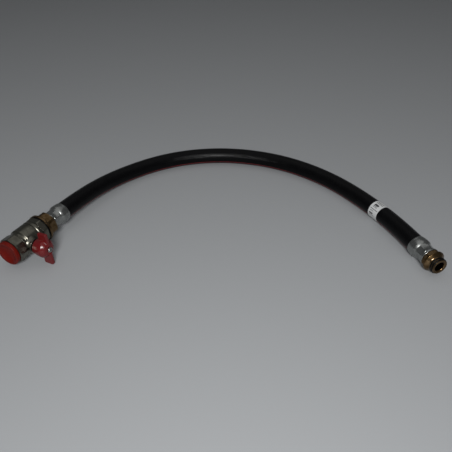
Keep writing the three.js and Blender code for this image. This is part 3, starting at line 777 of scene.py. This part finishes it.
boss_outline = eased([
    (13.0, 4.8), (13.0, 13.4), (15.6, 12.9), (18.2, 11.3), (19.8, 10.6), (22.5, 10.5), (22.5, 7.6),
    (18.6, 7.6), (18.6, 4.8),
], 0.5)
boss = skin("stem_boss", boss_outline, stem_place, nickel, sharp=40)
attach(boss, "hose_set")

tail_outline = [
    *eased([(-8.3, 12.7), (-8.3, 16.2), (-15.0, 16.2), (-15.0, 18.9), (-16.4, 20.1), (-20.6, 20.1),
            (-20.9, 18.9), (-21.2, 18.9)], 0.6)[:-1],
    *nut_rings(-21.2, -30.5, across=38.8, roll=0, count=8, over=1.072),
    *eased([(-30.5, 17.1), (-29.7, 16.3), (-19.5, 16.3), (-17.5, 10.0), (-11.8, 10.0),
            (-11.8, 12.7)], 0.3),
]
tail_piece = skin("valve_tail_piece", tail_outline, valve_place, nickel, segments=144, sharp=30)
stands_for(tail_piece, "hose_set", "valve_tail", slot="valve_nickel")

gland_outline = [
    *eased([(21.3, 4.8), (21.3, 7.3), (22.8, 7.3), (22.8, 7.6)], 0.1)[1:],
    *nut_rings(22.8, 25.2, across=15.4, roll=0, over=1.13),
    (25.2, 4.8), (21.3, 4.8),
]
gland_nut = skin("gland_nut_skin", gland_outline, stem_place, nickel, sharp=30)
stands_for(gland_nut, "hose_set", "gland_nut", slot="valve_nickel")

# %% [markdown]
# ## The T-handle
# The handle is moulded in one piece: a thick hub that hides the gland, and two flat wings for the
# fingers. The mould has no sharp inner corners. Hub and wings are joined with a fine voxel remesh
# and then smoothed, which leaves the soft fillets of a moulding.

# %% Handle
wing_half_thickness, wing_corner = 1.9, 1.8
wing_low, wing_high = 33.0, 47.8
wing_inner, wing_outer = 5.8, 25.4


def wing(name, place, steps=6):
    """A flat plate in the plane of the stem, with round outer corners."""
    corner_span = wing_outer - wing_corner
    quarter = [math.pi / 2 * k / steps for k in range(steps + 1)]
    lower = [(wing_corner * math.sin(a), -wing_corner * math.cos(a)) for a in quarter[1:]]
    upper = [(wing_corner * math.cos(a), wing_corner * math.sin(a)) for a in quarter]
    outline = [
        (wing_inner, wing_low), (corner_span, wing_low),
        *((corner_span + span, wing_low + wing_corner + along) for span, along in lower),
        *((corner_span + span, wing_high - wing_corner + along) for span, along in upper),
        (wing_inner, wing_high),
    ]
    vertices = [place @ Vector((along, side, span))
                for side in (-wing_half_thickness, wing_half_thickness) for span, along in outline]
    count = len(outline)
    faces = [tuple(range(count)), tuple(range(2 * count - 1, count - 1, -1))]
    faces += [(k, k + count, (k + 1) % count + count, (k + 1) % count) for k in range(count)]
    mesh = bpy.data.meshes.new(name)
    mesh.from_pydata(vertices, [], faces)
    return finished(name, mesh, red_nylon)


def moulded_together(name, parts, voxel, smoothing):
    """Joins closed forms into one skin by a voxel remesh, then relaxes it."""
    vertices, faces = [], []
    for part in parts:
        first = len(vertices)
        vertices += [v.co.copy() for v in part.data.vertices]
        faces += [[first + i for i in f.vertices] for f in part.data.polygons]
        bpy.data.objects.remove(part)
    mesh = bpy.data.meshes.new(name)
    mesh.from_pydata(vertices, [], faces)
    source = bpy.data.objects.new(name, mesh)
    remesh = source.modifiers.new("remesh", "REMESH")
    remesh.mode = "VOXEL"
    remesh.voxel_size = voxel
    relax = source.modifiers.new("relax", "SMOOTH")
    relax.factor = 0.5
    relax.iterations = smoothing
    return evaluated_mesh(source, name)


hub_outline = [
    (25.6, 9.7), (25.6, 11.1), (26.4, 11.5), (33.0, 12.9), (39.4, 13.5), (41.3, 12.9), (43.4, 11.2),
    (45.3, 9.4), (46.1, 7.6), (46.4, 5.2), (46.4, 2.9), (44.6, 2.9), (44.6, 4.8), (30.4, 4.8),
    (30.4, 9.7),
]
upside_down = Matrix.Rotation(math.pi, 4, "X")
pieces = [
    skin("hub", hub_outline, stem_place, red_nylon),
    wing("upper_wing", stem_place),
    wing("lower_wing", stem_place @ upside_down),
]
handle_mesh = moulded_together("t_handle", pieces, voxel=0.3 * mm, smoothing=4)
handle = finished("t_handle", handle_mesh, red_nylon, sharp=60)
stands_for(handle, "valve_handle", "handle", slot="handle_red")

# %% [markdown]
# ## The handle screw
# A zinc-plated pan head screw with a cross recess holds the handle on the stem.

# %% Screw
def cross_recess(half_width):
    """The radius of a cross, for an angle in degrees: long on its four arms, short between."""
    arm_length, arm_half_angle = 1.75 * half_width, 20

    def radius(angle):
        from_arm = min(angle % 90, 90 - angle % 90)
        return half_width if from_arm > arm_half_angle else arm_length

    return radius


screw_outline = [
    (36.7, 0.0), (36.7, 2.0), (37.4, 2.5), (46.7, 2.5), (46.7, 3.7), (46.95, 3.9), (47.7, 3.9),
    (48.4, 3.55), (48.85, 2.8), (49.0, 2.0), (49.0, cross_recess(0.85)), (47.9, cross_recess(0.7)),
    (47.7, 0.0),
]
screw = skin("handle_screw_skin", screw_outline, stem_place, zinc, segments=72, sharp=40)
stands_for(screw, "valve_handle", "handle_screw", slot="ferrule_steel")

# %% [markdown]
# ## The thread plug
# A soft red plug keeps dirt out of the valve until it is fitted. Its flange covers the valve's
# face, its middle is hollowed like a bowl, and its short skirt grips the thread.

# %% Plug
bowl_floor, bowl_depth, bowl_radius = 26.6, 4.5, 14.6
bowl = [(bowl_floor + bowl_depth * (r / bowl_radius) ** 3, r)
        for r in (0.0, 3.0, 6.0, 8.0, 10.0, 11.5, 12.8, 13.9, bowl_radius)]
rim_and_skirt = eased([
    (31.1, bowl_radius), (31.4, 15.1), (31.4, 17.2), (30.8, 18.0), (26.3, 18.0), (25.8, 17.5),
    (25.8, 14.9), (21.2, 14.9), (20.8, 14.4), (20.8, 13.4), (24.6, 13.4), (25.4, 12.4), (25.4, 0.0),
], 0.5)[1:]
plug = skin(
    "plug_skin", [*bowl, *rim_and_skirt], valve_place, red_polyethylene, segments=128, sharp=50
)
stands_for(plug, "thread_plug", "thread_plug", slot="plug_red")

# %% [markdown]
# ## Hidden pieces
# The ball, the stem, the seats and the packing keep their solids. They only need their finish.

# %% Hidden pieces
for node, material in (
    ("ball", chrome), ("stem", brass), ("seat_ring_mouth_side", seat_plastic),
    ("seat_ring_hose_side", seat_plastic), ("stem_packing", seat_plastic),
):
    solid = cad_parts[node]
    for place in solid.material_slots:
        place.material = material
    print(node, [place.material.name for place in solid.material_slots])

# %% [markdown]
# ## Table and light
# A large pale grey sheet runs under the hose. A small lamp at the camera and a larger one behind it
# light the sides that face the viewer, so the metal mirrors them in small highlights there. A broad
# weak lamp overhead and the room's own light fill the shadows.

# %% Table and light
table_half = 6.0
table_material, table_nodes, table_shader = new_material("pale_table", "949698", 0.0, 0.6)
grain(table_nodes, table_shader, 1.5 * mm, 0.01 * mm)
table_mesh = bpy.data.meshes.new("table")
table_mesh.from_pydata(
    [(x * table_half, y * table_half, 0.0) for x, y in ((-1, -1), (1, -1), (1, 1), (-1, 1))],
    [], [(0, 1, 2, 3)],
)
table_mesh.materials.append(table_material)
table = bpy.data.objects.new("table", table_mesh)
bpy.context.scene.collection.objects.link(table)

world = bpy.data.worlds.new("room")
world.use_nodes = True
background = world.node_tree.nodes["Background"]
background.inputs["Color"].default_value = linear("E6E8EA")
background.inputs["Strength"].default_value = 0.14
bpy.context.scene.world = world


def soft_lamp(name, place, aim, size, watts):
    """A round lamp at a place, turned towards the aim. Its size is its diameter."""
    data = bpy.data.lights.new(name, "AREA")
    data.shape = "DISK"
    data.size = size
    data.energy = watts
    lamp = bpy.data.objects.new(name, data)
    lamp.location = place
    lamp.rotation_euler = (Vector(aim) - Vector(place)).to_track_quat("-Z", "Y").to_euler()
    bpy.context.scene.collection.objects.link(lamp)
    print(name, watts, "W")


soft_lamp("at_camera", (0.02, -0.63, 0.51), aim=(0.0, 0.05, 0.0), size=0.11, watts=1.7)
soft_lamp("behind_camera", (0.0, -1.45, 1.10), aim=(0.0, 0.05, 0.0), size=0.45, watts=26.0)
soft_lamp("above", (0.0, 0.3, 2.2), aim=(0.0, 0.1, 0.0), size=3.2, watts=9.0)

# %% [markdown]
# ## Finish
# The view layer is updated, so that every piece stands in its place.

# %% Finish
bpy.context.view_layer.update()
